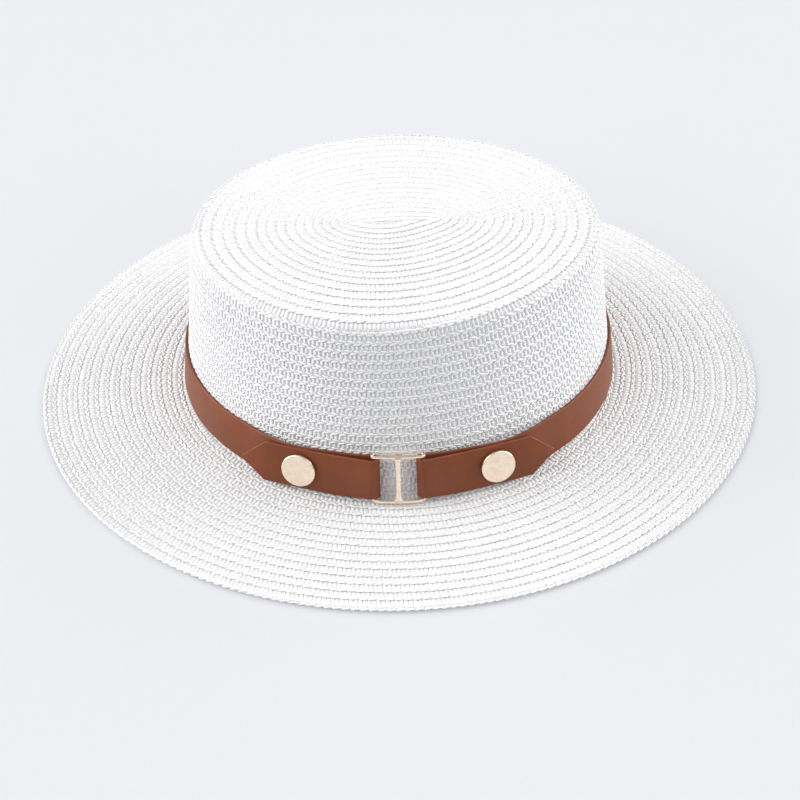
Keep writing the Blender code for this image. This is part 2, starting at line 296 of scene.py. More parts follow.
def surface(angle, place, height):
    """Points of the hat: the oval of the profile's half axes at a place, moved out by a height along
    the normal, which is the cross product of the directions down the profile and round the oval."""
    a, b, z = (np.interp(place, PLACES, PROFILE[:, k]) for k in range(3))
    da, db, dz = (np.interp(place, PLACES, SLOPE[:, k]) for k in range(3))
    c, s = np.cos(angle), np.sin(angle)
    out = np.stack([da * c, db * s, dz], -1)
    b_safe = np.maximum(b, 1e-5)
    around = np.stack([-a * s, b_safe * c, np.zeros_like(a * s)], -1)
    normal = np.cross(out, around)
    size = np.linalg.norm(normal, axis=-1, keepdims=True)
    normal = np.where(size > 1e-7, normal / np.maximum(size, 1e-9), np.array([0.0, 0.0, 1.0]))
    point = np.stack([a * c, b * s, z], -1)
    return point + normal * np.asarray(height)[..., None]


def row_map():
    """For each whole degree and each part of a row, the place on the profile where that row runs.
    Known rows at a few places are drifted by the table, then the places between are interpolated.
    With it come, for each degree, the last row at the rim and the first row at the middle."""
    table = np.array(DRIFT)
    drift = np.stack([np.interp(DEGREES, table[:, 0], table[:, k]) for k in range(1, 5)], 1)
    trend = DEGREES[:, None] / 360
    wave = (drift - trend)[:-1]
    for _ in range(3):
        wave = sum(np.roll(wave, k, axis=0) for k in range(-6, 7)) / 13
    drift = np.concatenate([wave, wave[:1]]) + trend
    edge = np.argmax(PROFILE[:, 2] < TOP - DOME - 0.0002)

    def down_to(depth):
        depths = TOP - DOME - PROFILE[edge:, 2]
        foot = np.argmax(depths >= TOP - DOME - RISE - 0.0004)
        return np.interp(depth, depths[:foot], PLACES[edge:edge + foot])

    foot_place = down_to(TOP - DOME - RISE - 0.0006)
    rows = np.linspace(0, ROWS, ROWS * ROW_PARTS + 1)
    places = np.empty((len(DEGREES), len(rows)))
    for k, degree in enumerate(DEGREES):
        tip, middle, low, rim = drift[k]
        brim_rows = BRIM_ROWS - BRIM_ROWS_SWAY * np.cos(np.radians(2 * degree))
        known = [(place * MM, row + tip) for place, row in TIP_ROWS]
        known += [(down_to(depth * MM), row + shift)
                  for (depth, row), shift in zip(WALL_ROWS, (tip, middle, low))]
        known += [(foot_place, RIM_ROW + rim - brim_rows), (RIM_PLACE, RIM_ROW + rim)]
        where, number = zip(*known)
        places[k] = np.interp(rows, number, where)
    return places, RIM_ROW + drift[:, 3], TIP_ROWS[0][1] + drift[:, 0]


ROW_PLACES, RIM_ROWS, FIRST_ROWS = row_map()


def row_place(angle, row):
    """Place on the profile of a row number at an angle, read from the row map both ways."""
    turn = np.clip((np.degrees(angle) + 180), 0, 360 - 0.0001)
    step = np.clip(row * ROW_PARTS, 0, ROWS * ROW_PARTS - 0.0001)
    i, j = turn.astype(int), step.astype(int)
    u, v = turn - i, step - j
    low = ROW_PLACES[i, j] * (1 - v) + ROW_PLACES[i, j + 1] * v
    high = ROW_PLACES[i + 1, j] * (1 - v) + ROW_PLACES[i + 1, j + 1] * v
    return low * (1 - u) + high * u


def at_angle(values, angle):
    """A value kept for each whole degree, read at an angle."""
    return np.interp(np.degrees(angle), DEGREES, values)


def across_row(angle, row):
    """Share of the way across its row at a row number, measured so that the outermost row's ridge
    stays at the rim where the row is narrower than the others."""
    outer = np.minimum(np.floor(row + 1e-6) + 1, at_angle(RIM_ROWS, angle))
    return np.clip(1 - (outer - row), 0, 1)


# ---- meshes


def mesh_object(name, points, faces, material, body="root"):
    """A smooth mesh object in the scene from arrays, riding on a body."""
    mesh = bpy.data.meshes.new(name)
    faces = np.asarray(faces)
    corners = faces.shape[1]
    mesh.vertices.add(len(points))
    mesh.vertices.foreach_set("co", np.asarray(points, np.float32).ravel())
    mesh.loops.add(faces.size)
    mesh.loops.foreach_set("vertex_index", faces.ravel().astype(np.int32))
    mesh.polygons.add(len(faces))
    mesh.polygons.foreach_set("loop_start", np.arange(0, faces.size, corners, dtype=np.int32))
    mesh.polygons.foreach_set("loop_total", np.full(len(faces), corners, np.int32))
    mesh.update(calc_edges=True)
    mesh.validate()
    mesh.shade_smooth()
    made = bpy.data.objects.new(name, mesh)
    bpy.context.scene.collection.objects.link(made)
    mesh.materials.append(material)
    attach(made, body)
    return made


def turned_out(made, weld=0.0):
    """Joins a mesh's vertices that lie within a weld distance and turns all its faces outward."""
    shell = bmesh.new()
    shell.from_mesh(made.data)
    if weld:
        bmesh.ops.remove_doubles(shell, verts=shell.verts, dist=weld)
    bmesh.ops.recalc_face_normals(shell, faces=shell.faces)
    shell.to_mesh(made.data)
    shell.free()


def set_shade(made, values):
    """Keeps one number for each vertex as the attribute shade, which its material reads."""
    layer = made.data.attributes.new("shade", "FLOAT", "POINT")
    layer.data.foreach_set("value", np.asarray(values, np.float32))


def grid_faces(rows, columns):
    """Quads of a grid whose vertices run along its columns first."""
    i, j = np.meshgrid(np.arange(rows - 1), np.arange(columns - 1), indexing="ij")
    k = (i * columns + j).ravel()
    return np.stack([k, k + columns, k + columns + 1, k + 1], 1)


def ring_faces(count, sides):
    """Quads between rings of a tube whose vertices run round each ring."""
    i, j = np.meshgrid(np.arange(count - 1), np.arange(sides), indexing="ij")
    after = (j + 1) % sides
    here, ahead = i * sides, (i + 1) * sides
    return np.stack([here + j, here + after, ahead + after, ahead + j], -1).reshape(-1, 4)


def triangles(quads):
    """Two triangles for each quad."""
    return np.concatenate([quads[:, [0, 1, 2]], quads[:, [0, 2, 3]]])


def closed_tube(rings, ends):
    """Points and triangles of a tube of rings whose two ends close in fans round end points."""
    count, sides = rings.shape[:2]
    k = np.arange(sides)
    after = (k + 1) % sides
    end, far = count * sides + 0 * k, (count - 1) * sides
    first = np.stack([end, after, k], 1)
    last = np.stack([end + 1, far + k, far + after], 1)
    faces = np.concatenate([triangles(ring_faces(count, sides)), first, last])
    return np.concatenate([rings.reshape(-1, 3), ends]), faces


def join(parts):
    """One list of points and one of faces from several."""
    starts = np.cumsum([0] + [len(part[0]) for part in parts])
    return (np.concatenate([part[0] for part in parts]),
            np.concatenate([part[1] + start for part, start in zip(parts, starts)]))


# ---- materials


def braid_material(colours):
    """Bleached paper straw, split, plaited and sewn: matt and nearly white, with a faint gloss along
    each strand, a slightly different tone from strand to strand and fine lengthwise fibres."""
    made, tree, shader = blank_material("bleached_straw_strand")
    place = node(tree, "TexCoord", output="Object")
    tone = node(tree, "Attribute", output="Fac", attribute_name="shade")
    fibre = node(tree, "TexNoise", {"Vector": place}, {"Scale": 2600.0, "Detail": 2.0})
    blotch = node(tree, "TexNoise", {"Vector": place}, {"Scale": 60.0, "Detail": 3.0})
    mix = node(tree, "Math", {0: blotch}, {1: 0.35}, operation="MULTIPLY")
    mix = node(tree, "Math", {0: tone, 1: mix}, operation="ADD")
    stops = tones(colours.straw, (0.0, 0.91), (0.45, 1.0), (1.0, 1.045))
    colour = node(tree, "ValToRGB", {0: mix}, stops=stops)
    bump = node(tree, "Bump", {"Height": fibre}, {"Strength": 0.25, "Distance": 0.0002})
    connect(tree, shader, {"Base Color": colour, "Normal": bump},
            {"Roughness": 0.55, "Specular IOR Level": 0.35})
    return made


def shell_material(colours, sizes):
    """The same straw where it lies deep between the rungs of the braid, with the ladder of rungs and
    the plaited ridge of each row as relief, for the inner and under sides. Its colour carries painted
    shade: it turns a little greyer where the relief lies low, in the gaps between the rungs and
    beside the ridges. The UV map holds the length along the row in millimetres and the row number."""
    made, tree, shader = blank_material("bleached_straw_ground_painted_shade")
    uv = node(tree, "UVMap", uv_map="braid")
    along = node(tree, "SeparateXYZ", {0: uv})
    row = along.node.outputs[1]
    rung_wave, strand_wave = 2 * PI * MM / sizes.rung_spacing, 2 * PI * MM / sizes.strand_length
    rung = node(tree, "Math", {0: along}, {1: rung_wave}, operation="MULTIPLY")
    rung = node(tree, "Math", {0: rung}, operation="SINE")
    share = node(tree, "Math", {0: row}, operation="FRACT")
    ladder = node(tree, "MapRange", {0: share}, {1: 0.56, 2: 0.66, 3: 1.0, 4: 0.0})
    plait = node(tree, "Math", {0: share}, {1: 5.5}, operation="MULTIPLY")
    twist = node(tree, "Math", {0: along}, {1: strand_wave}, operation="MULTIPLY")
    plait = node(tree, "Math", {0: twist, 1: plait}, operation="ADD")
    plait = node(tree, "Math", {0: plait}, operation="SINE")
    relief = node(tree, "Mix", {0: ladder, 2: plait, 3: rung}, data_type="FLOAT")
    # Painted shade: the colour follows the relief, so the low gaps between rungs and beside the
    # ridges are drawn greyer
    shade = node(tree, "MapRange", {0: relief}, {1: -1.0, 2: 0.3, 3: 0.0, 4: 1.0})
    stops = tones(colours.straw, (0.0, 0.90), (0.6, 1.0), (1.0, 1.03))
    colour = node(tree, "ValToRGB", {0: shade}, stops=stops)
    bump = node(tree, "Bump", {"Height": relief}, {"Strength": 0.8, "Distance": 0.0003})
    connect(tree, shader, {"Base Color": colour, "Normal": bump},
            {"Roughness": 0.65, "Specular IOR Level": 0.3})
    return made


def leather_material(colours):
    """Saddle leather, vegetable tanned, dyed through and burnished: a satin brown grain with small
    pores, softly mottled, and a redder tone on the raw cut edges, which the attribute shade marks."""
    made, tree, shader = blank_material("saddle_leather")
    place = node(tree, "TexCoord", output="Object")
    edge = node(tree, "Attribute", output="Fac", attribute_name="shade")
    pores = node(tree, "TexVoronoi", {"Vector": place}, {"Scale": 1500.0})
    grain = node(tree, "TexNoise", {"Vector": place}, {"Scale": 900.0, "Detail": 4.0})
    mottle = node(tree, "TexNoise", {"Vector": place},
                  {"Scale": 55.0, "Detail": 5.0, "Roughness": 0.6})
    stops = tones(colours.leather, (0.25, 0.83), (0.5, 1.0), (0.8, 1.19))
    face = node(tree, "ValToRGB", {0: mottle}, stops=stops)
    raw = tinted(colours.leather_edge, 1.0)
    colour = node(tree, "Mix", {0: edge, 6: face}, {7: raw}, output=2, data_type="RGBA")
    height = node(tree, "Math", {0: pores, 1: grain}, operation="ADD")
    bump = node(tree, "Bump", {"Height": height}, {"Strength": 0.2, "Distance": 0.0001})
    rough = node(tree, "MapRange", {0: grain}, {1: 0.3, 2: 0.7, 3: 0.40, 4: 0.50})
    connect(tree, shader, {"Base Color": colour, "Normal": bump, "Roughness": rough},
            {"Specular Tint": (1.0, 0.82, 0.68, 1.0)})
    return made


def gold_material(colours):
    """Zinc die casting with a pale rose gold plate, tumbled: a warm, softly hammered shine."""
    made, tree, shader = blank_material("rose_gold_plate")
    place = node(tree, "TexCoord", output="Object")
    dents = node(tree, "TexNoise", {"Vector": place}, {"Scale": 420.0, "Detail": 1.5})
    fine = node(tree, "TexNoise", {"Vector": place}, {"Scale": 2500.0, "Detail": 2.0})
    stops = tones(colours.gold, (0.3, 0.93), (0.7, 1.05))
    colour = node(tree, "ValToRGB", {0: dents}, stops=stops)
    rough = node(tree, "MapRange", {0: fine}, {1: 0.3, 2: 0.7, 3: 0.26, 4: 0.32})
    bump = node(tree, "Bump", {"Height": dents}, {"Strength": 0.1, "Distance": 0.0001})
    connect(tree, shader, {"Base Color": colour, "Normal": bump, "Roughness": rough},
            {"Metallic": 1.0})
    return made


def floor_material(colours):
    """Matt opal acrylic of a light table, cast and sanded: nearly white with a hardly visible grain,
    lit a little from below, so that shadows on it stay pale."""
    made, tree, shader = blank_material("opal_acrylic")
    place = node(tree, "TexCoord", output="Object")
    noise = node(tree, "TexNoise", {"Vector": place}, {"Scale": 900.0, "Detail": 2.0})
    stops = tones(colours.floor, (0.3, 0.99), (0.7, 1.01))
    colour = node(tree, "ValToRGB", {0: noise}, stops=stops)
    connect(tree, shader, {"Base Color": colour},
            {"Roughness": 0.9, "Specular IOR Level": 0.1, "Emission Strength": FLOOR_GLOW,
             "Emission Color": tinted(colours.floor, 1.0)})
    return made


# ---- straw


def row_lengths(row):
    """Length along a row from the hat's left end, where it starts, to each whole degree."""
    return running(surface(ANGLES, row_place(ANGLES, row + 0 * ANGLES), 0 * ANGLES))


def shell_sheet(across, relief, drop):
    """One side of the shell on a grid of angles and row numbers: the surface at each row's place,
    raised by the relief of the row's cross-section over a drop inwards. Each point's UV is the length
    along the middle of its row, so that the ladder stays square to the row, and the row number."""
    columns = np.radians(np.linspace(-180, 180, 181))
    rows = np.arange(0, ROWS * across + 1) / across
    angle, row = np.meshgrid(columns, rows, indexing="ij")
    first = at_angle(FIRST_ROWS, angle)
    last = at_angle(RIM_ROWS, angle)
    held = np.clip(row, np.minimum(first, last), last)
    place = np.minimum(row_place(angle, held), RIM_PLACE - RIM_INSET)
    share = across_row(angle, np.minimum(held, last - 1e-6))
    height = np.interp(share, *zip(*relief)) * MM
    height = np.where(height < 0, height * np.interp(held, *zip(*ROW_DEPTH)), height)
    height = np.where(held >= last - 1e-9, -RIM_DIP, height)
    height = np.where(held <= first + 1e-9, -MIDDLE_DIP, height)
    if drop:
        height = np.interp(RIM_PLACE - place, (0.0, RIM_RISE_RUN), (RIM_RISE, 0.0)) - drop - height
    points = surface(angle, place, height)
    faces = grid_faces(*angle.shape)
    flat = held.ravel()
    alive = (flat[faces].max(1) - flat[faces].min(1)) > 1e-9
    middle = np.floor(rows + 1e-6).astype(int) * across + across // 2 + 1
    along = running(points)[:, np.minimum(middle, len(rows) - 1)] / MM
    return points.reshape(-1, 3), faces[alive], np.stack([along.ravel(), flat], 1), angle.shape


class BOATER_OT_shell(bpy.types.Operator):
    """Build the hollow straw shell of crown and brim, with the relief of its sewn rows"""

    bl_idname = "boater.shell"
    bl_label = "Straw Shell"

    def execute(self, context):
        outer, outer_faces, outer_uv, shape = shell_sheet(5, ROW_RELIEF, 0.0)
        inner, inner_faces, inner_uv, inner_shape = shell_sheet(4, UNDER_RELIEF, STRAW - 0.0003)
        start = len(outer)
        rim_out = np.arange(start).reshape(shape)[:, -1]
        rim_in = start + np.arange(len(inner)).reshape(inner_shape)[:, -1]
        faces = np.concatenate([
            outer_faces,
            inner_faces[:, ::-1] + start,
            np.stack([rim_out[:-1], rim_in[:-1], rim_in[1:], rim_out[1:]], 1),
        ])
        points = np.concatenate([outer, inner])
        uvs = np.concatenate([outer_uv, inner_uv])
        material = shell_material(context.scene.boater_colours, context.scene.boater_sizes)
        made = mesh_object("straw_shell", points, faces, material)
        mesh = made.data
        order = np.empty(len(mesh.loops), np.int32)
        mesh.loops.foreach_get("vertex_index", order)
        layer = mesh.uv_layers.new(name="braid")
        layer.data.foreach_set("uv", uvs[order].astype(np.float32).ravel())
        turned_out(made, 3e-6)
        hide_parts("crown", "brim")
        return {"FINISHED"}


def spots(row, spacing, phase, least):
    """Even places along a row, kept where the row exists and is at least so wide: their distances
    and widths, then the row's lengths."""
    length = row_lengths(row + 0.6)
    count = max(int(round(length[-1] / spacing)), 1)
    distance = (np.arange(count) + phase) * length[-1] / count
    where = np.interp(distance, length, ANGLES)
    width = np.minimum(1.0, at_angle(RIM_ROWS, where) - row)
    begin = row_place(where, np.full(count, row + 0.5))
    keep = (width > least) & (begin > 0.0006) & (row + 1 > at_angle(FIRST_ROWS, where))
    return distance[keep], width[keep], length


def strands(rows, spacing, phase, least, template, faces, jitter, seed, ladder):
    """Copies of a template along rows. The template's points are (millimetres along the row, share
    across it, millimetres high), and each is laid on the hat's surface at its own place, shaken by
    the jitter along, across, high and in length. On a ladder the share is fitted to the row without
    its ridge, and otherwise counted from the row's outer edge."""
    rng = np.random.default_rng(seed)
    all_points, all_faces, shades = [], [], []
    total = 0
    for row in rows:
        distance, width, length = spots(row, spacing, phase, least)
        count = len(distance)
        if not count:
            continue
        shake = rng.normal(size=(count, 4, 1)) * np.array(jitter)[None, :, None]
        along = template[None, :, 0] * (1 + shake[:, 3]) + shake[:, 0]
        if ladder:
            inner = width[:, None] - RIDGE_SHARE
            share = template[None, :, 1] / (1 - RIDGE_SHARE) * inner
            along = along + shake[:, 1] * (template[None, :, 1] - 0.3)
        else:
            share = width[:, None] - (1 - template[None, :, 1]) + shake[:, 1]
        high = template[None, :, 2] + shake[:, 2]
        where = np.interp(np.clip(distance[:, None] + along * MM, 0, length[-1]), length, ANGLES)
        number = row + np.clip(share, -0.2, 1.08)
        place = np.minimum(row_place(where, number), RIM_PLACE)
        points = surface(where, place, high * MM)
        all_points.append(points.reshape(-1, 3))
        base = total + np.arange(count)[:, None, None] * len(template)
        all_faces.append((faces[None] + base).reshape(-1, faces.shape[1]))
        shades.append(np.repeat(np.clip(rng.normal(0.5, 0.16, count), 0, 1), len(template)))
        total += count * len(template)
    return np.concatenate(all_points), np.concatenate(all_faces), np.concatenate(shades)


def rung_template(fullness, reach):
    """A rung of the ladder: a closed bar of four sides from under one ridge to the next, bent up
    at its outer end and leaning along the row."""
    stations = ((-0.05, -0.04, 0.00, 0.98), (0.26, -0.04, 0.16, 1.00), (reach, 0.02, 0.34, 1.12))
    points = []
    for share, high, lean, wide in stations:
        for across, up in ((-0.66, -0.60), (0.66, -0.60), (0.50, 0.0), (-0.50, 0.0)):
            points.append((across * wide * fullness + lean, share, high + up))
    sides = ring_faces(len(stations), 4)
    caps = np.array([[0, 3, 2, 1], [8, 9, 10, 11]])
    return np.array(points), np.concatenate([sides, caps])


def leaf_template(slant, middle, high, long=4.3, wide=0.10, thick=0.26):
    """A strand of the ridge where it shows between two crossings: a closed spindle of five sides,
    slanted across the row. Slant is its rise in row shares from end to end."""
    points = [(-long / 2, middle - slant / 2, high - 0.12)]
    turn = np.arange(5) * 2 * PI / 5 + PI / 2
    for k in (-0.22, 0.22):
        for t in turn:
            points.append((k * long, middle + slant * k + wide * np.cos(t),
                           high + thick * np.sin(t)))
    points.append((long / 2, middle + slant / 2, high - 0.12))
    ring, after = 1 + np.arange(5), 1 + (np.arange(5) + 1) % 5
    corners = ((0 * ring, ring, after), (ring, ring + 5, after + 5), (ring, after + 5, after),
               (ring + 5, 0 * ring + 11, after + 5))
    return np.array(points), np.concatenate([np.stack(three, 1) for three in corners])


def rim_rope(spacing):
    """The twisted strands that bind the rim: slanted spindles at even places along the rim, laid
    across it in millimetres instead of row shares."""
    leaf, faces = leaf_template(-1.05, 0.0, -0.14, long=3.9, wide=0.42, thick=0.44)
    length = running(surface(ANGLES, RIM_PLACE - 0.0006 + 0 * ANGLES, 0 * ANGLES))
    count = int(round(length[-1] / spacing))
    rng = np.random.default_rng(90)
    start = (np.arange(count) + 0.5 + 0.03 * rng.normal(size=count)) * length[-1] / count
    along = (start[:, None] + leaf[None, :, 0] * MM) % length[-1]
    where = np.interp(along, length, ANGLES)
    place = RIM_PLACE - (0.62 - leaf[None, :, 1]) * MM + 0 * where
    points = surface(where, place, leaf[None, :, 2] * MM + 0 * where).reshape(-1, 3)
    all_faces = (faces[None] + np.arange(count)[:, None, None] * len(leaf)).reshape(-1, 3)
    return points, all_faces, np.repeat(np.clip(rng.normal(0.6, 0.12, count), 0, 1), len(leaf))


# Pieces of the braid: name, rows, fullness of the rungs, share of the row where the rungs end, and
# the ridge's two strands: share of the row of the inner and the outer one, half width, slant
STRAND_ZONES = (
    ("braid_tip", range(0, 18), 1.22, 0.62, (0.73, 0.88, 0.115, 0.10)),
    ("braid_wall", range(18, 33), 0.92, 0.56, (0.63, 0.87, 0.135, 0.20)),
    ("braid_brim_inner", range(35, 44), 1.22, 0.62, (0.73, 0.88, 0.115, 0.10)),
    ("braid_brim_outer", range(44, 52), 1.22, 0.62, (0.73, 0.88, 0.115, 0.10)),
)
# Random shifts of rungs and ridge strands: millimetres along, share across, millimetres high, and
# share of the length
RUNG_JITTER = (0.06, 0.12, 0.04, 0.03)
LEAF_JITTER = (0.10, 0.012, 0.03, 0.04)


class BOATER_OT_braid(bpy.types.Operator):
    """Lay the rungs and the plaited ridge strands of every row that shows"""

    bl_idname = "boater.braid"
    bl_label = "Braid Strands"

    def execute(self, context):
        sizes = context.scene.boater_sizes
        material = braid_material(context.scene.boater_colours)
        rung_step = sizes.rung_spacing
        leaf_step = sizes.strand_length
        for number, (name, rows, fullness, reach, ridge) in enumerate(STRAND_ZONES):
            inner_share, outer_share, half_width, slant = ridge
            rungs, rung_faces = rung_template(fullness, reach)
            inner_leaf, leaf_faces = leaf_template(slant, inner_share, 0.12, wide=half_width)
            outer_leaf, _ = leaf_template(-slant, outer_share, 0.12, wide=half_width)
            points, quads, shades = strands(rows, rung_step, 0.5, 0.5, rungs, rung_faces,
                                            RUNG_JITTER, 10 + number, True)
            sets = [(points, triangles(quads), shades)]
            ridged = [row for row in rows if row < ROWS - 1]
            for step, (leaf, phase) in enumerate(((inner_leaf, 0.25), (outer_leaf, 0.75))):
                sets.append(strands(ridged, leaf_step, phase, 0.4, leaf, leaf_faces,
                                    LEAF_JITTER, 40 + 10 * step + number, False))
            if name == "braid_brim_outer":
                sets.append(rim_rope(leaf_step))
            points, faces = join(sets)
            made = mesh_object(name, points, faces, material)
            set_shade(made, np.concatenate([shade for _, _, shade in sets]))
            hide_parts("brim" if "brim" in name else "crown")
        return {"FINISHED"}


# ---- leather and metal


def wall_axes(height):
    """Half length and half width of the crown's outer wall at a height."""
    share = (height - FOOT_Z) / (WALL_TOP - FOOT_Z)
    return FOOT_A + (TIP_A - FOOT_A) * share, FOOT_B + (TIP_B - FOOT_B) * share


def wall_point(angle, height, out):
    """Points of the tapered oval wall at an angle and a height, moved out along its normal."""
    a, b = wall_axes(height)
    da, db = np.subtract(wall_axes(1.0), wall_axes(0.0))
    c, s = np.cos(angle), np.sin(angle)
    along = np.stack([-a * s, b * c, 0 * c], -1)
    rise = np.stack([da * c, db * s, np.ones_like(c)], -1)
    normal = np.cross(along, rise)
    normal = normal / np.linalg.norm(normal, axis=-1, keepdims=True)
    return np.stack([a * c, b * s, height + 0 * c], -1) + normal * np.asarray(out)[..., None]


SLIDE_LIFT = wall_point(np.array([-PI / 2]), np.array([FOOT_Z]),
                        np.array([SIDE_BAR_OUT]))[0, 2] - FOOT_Z


def band_floor():
    """Height of the strap's lower edge on the wall, as the solids have it."""
    breadth = BRIM_B - FLAT_ROW - FOOT_B + STRAW
    share = (SIDE_BAR_OUT - WIRE / 2 + STRAW) / breadth
    top = STRAW + (RISE - STRAW) * np.interp(share, *zip(*BRIM_LINE))
    return top + 2 * GAP + WIRE - SLIDE_LIFT


BAND_FLOOR = band_floor()
BAND_TOP = BAND_FLOOR + BAND_WIDTH
BAND_MIDDLE = (BAND_FLOOR + BAND_TOP) / 2
ROUND = np.linspace(-1.5 * PI, 0.5 * PI, 2881)
ROUND_LENGTH = running(np.stack([np.cos(ROUND), np.sin(ROUND)], 1) * wall_axes(BAND_MIDDLE))
GIRTH = ROUND_LENGTH[-1]


def on_wall(distance, height, out):
    """Points at a distance round from the slide's middle, a height and an offset from the wall."""
    place = (np.asarray(distance) + SLIDE_OFFSET + GIRTH / 2) % GIRTH
    return wall_point(np.interp(place, ROUND_LENGTH, ROUND), np.asarray(height) + 0 * place, out)


def swell(place):
    """One cosine swell round the studs, nought at its ends and one in its middle."""
    return 0.5 + 0.5 * np.cos(PI * np.clip((place - STAND_CENTRE) / STAND_RUN, -1, 1))


def layer_out(side, distance):
    """Offset of the outer layer, which is a straight line in plan from the fold past the stud: where
    the wall's normal at each distance crosses that line."""
    def plan(place, out):
        return on_wall(side * np.asarray(place), BAND_MIDDLE, out + 0 * np.asarray(place))[..., :2]

    def area(u, v):
        return u[..., 0] * v[..., 1] - u[..., 1] * v[..., 0]

    fold = plan(SIDE_BAR_REACH, SIDE_BAR_OUT + FOLD_RADIUS)
    ahead = plan(STUD_REACH, OUTER_LAYER + STRAP_STAND) - fold
    foot = plan(distance, 0.0)
    return area(fold - foot, ahead) / area(plan(distance, 1.0) - foot, ahead)


def strap_end(side):
    """One end from its point to the inner layer: signed distance, offset of its middle, share of the
    full width. The point tapers, the outer layer runs straight and the fold is a half circle."""
    corner = STRAP_REACH - STRAP_POINT
    tip = np.linspace(STRAP_REACH, corner, 10)
    run = np.linspace(corner, SIDE_BAR_REACH + 0.0012, 30)[1:]
    turn = np.linspace(0, PI, 16)
    distance = np.concatenate([tip, run, SIDE_BAR_REACH - FOLD_RADIUS * np.sin(turn)])
    out = np.concatenate([layer_out(side, tip), layer_out(side, run),
                          SIDE_BAR_OUT + FOLD_RADIUS * np.cos(turn)])
    share = np.concatenate([POINT_BLUNT + (1 - POINT_BLUNT) * (STRAP_REACH - tip) / STRAP_POINT,
                            np.ones(len(run) + len(turn))])
    return np.stack([side * distance, out, share], 1)


def strap_line():
    """The whole strap from its right point round both folds and the crown to its left point."""
    back = np.linspace(SIDE_BAR_REACH, GIRTH - SIDE_BAR_REACH, 420)[1:-1]
    off = INNER_LAYER + STRAP_STAND * swell(np.minimum(back, GIRTH - back)) / swell(STUD_REACH)
    round_crown = np.stack([back, off, np.ones(len(back))], 1)
    return np.concatenate([strap_end(1), round_crown, strap_end(-1)[::-1]])


def strap_section():
    """The strap's cross-section with eased corners: width and thickness coordinates, once round."""
    half = DRAWN_LEATHER / 2 - EDGE_EASE
    turn = np.linspace(0, PI / 2, 4)
    top = [(BAND_WIDTH / 2 - EDGE_EASE + EDGE_EASE * np.sin(t), half + EDGE_EASE * np.cos(t))
           for t in turn]
    section = top + [(w, -t) for w, t in top[::-1]]
    return np.array(section + [(-w, t) for w, t in section[::-1]])


class BOATER_OT_strap(bpy.types.Operator):
    """Wrap the leather strap round the crown, folded back through the slide at both ends"""

    bl_idname = "boater.strap"
    bl_label = "Leather Strap"

    def execute(self, context):
        line = strap_line()
        section = strap_section()
        middle = on_wall(line[:, 0], BAND_MIDDLE, line[:, 1])
        ahead = np.gradient(middle, axis=0)
        ahead /= np.linalg.norm(ahead, axis=1, keepdims=True)
        low = on_wall(line[:, 0], BAND_MIDDLE - MM, line[:, 1])
        high = on_wall(line[:, 0], BAND_MIDDLE + MM, line[:, 1])
        up = (high - low) / (2 * MM)
        out = np.cross(ahead, up)
        out /= np.linalg.norm(out, axis=1, keepdims=True)
        near = np.clip(1 - (np.abs(line[:, 0]) - SIDE_BAR_REACH) / PINCH_RUN, 0, 1)
        pinch = 1 - FOLD_PINCH * near[:, None] * (section[:, 0] < 0)
        width = section[:, 0][None] * line[:, 2][:, None] * pinch
        rings = (middle[:, None] + up[:, None] * width[..., None]
                 + out[:, None] * section[:, 1][None, :, None])
        points, faces = closed_tube(rings, rings.mean(1)[[0, -1]])
        material = leather_material(context.scene.boater_colours)
        made = mesh_object("leather_strap", points, faces, material)
        past_ease = (np.abs(section[:, 0]) - (BAND_WIDTH / 2 - EDGE_EASE)) / EDGE_EASE
        edge = np.clip(past_ease * 1.6, 0, 1)
        set_shade(made, np.concatenate([np.tile(edge, len(rings)), [1, 1]]))
        turned_out(made)
        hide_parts("band")
        return {"FINISHED"}


def sweep(path, reference, half_wide, half_deep, swelling=1.0):
    """A closed bar along a path: each section is a rounded rectangle, the fourth-power oval, whose
    wide way is the reference direction and whose size is scaled by a swelling for each place."""
    turn = np.arange(20) * 2 * PI / 20
    wide = np.sign(np.cos(turn)) * np.sqrt(np.abs(np.cos(turn))) * half_wide
    deep = np.sign(np.sin(turn)) * np.sqrt(np.abs(np.sin(turn))) * half_deep
    ahead = np.gradient(path, axis=0)
    ahead /= np.linalg.norm(ahead, axis=1, keepdims=True)
    across = reference - ahead * (reference * ahead).sum(1, keepdims=True)
    across /= np.linalg.norm(across, axis=1, keepdims=True)
    outward = np.cross(ahead, across)
    scale = np.ones(len(path)) * swelling
    rings = (path[:, None] + across[:, None] * (wide[None] * scale[:, None])[..., None]
             + outward[:, None] * deep[None, :, None])
    return closed_tube(rings, path[[0, -1]])


def hook_path(height, front, bend):
    """A front bar's path: forward from its left side bar, along the front and back to the right one,
    with corners rounded by a bend, as distance, height and offset."""
    turn = np.linspace(0, PI / 2, 7)
    deep = min(bend, front - SIDE_BAR_OUT - 0.0004)
    inset = SIDE_BAR_REACH - bend
    left = np.stack([-inset - bend * np.cos(turn), front - deep + deep * np.sin(turn)], 1)
    run = np.stack([np.linspace(-inset, inset, 16)[1:-1], np.full(14, front)], 1)
    mirror = np.array([-1, 1])
    start = np.array([[-SIDE_BAR_REACH, SIDE_BAR_OUT]])
    line = np.concatenate([start, left, run, left[::-1] * mirror, start * mirror])
    return on_wall(line[:, 0], height, line[:, 1])


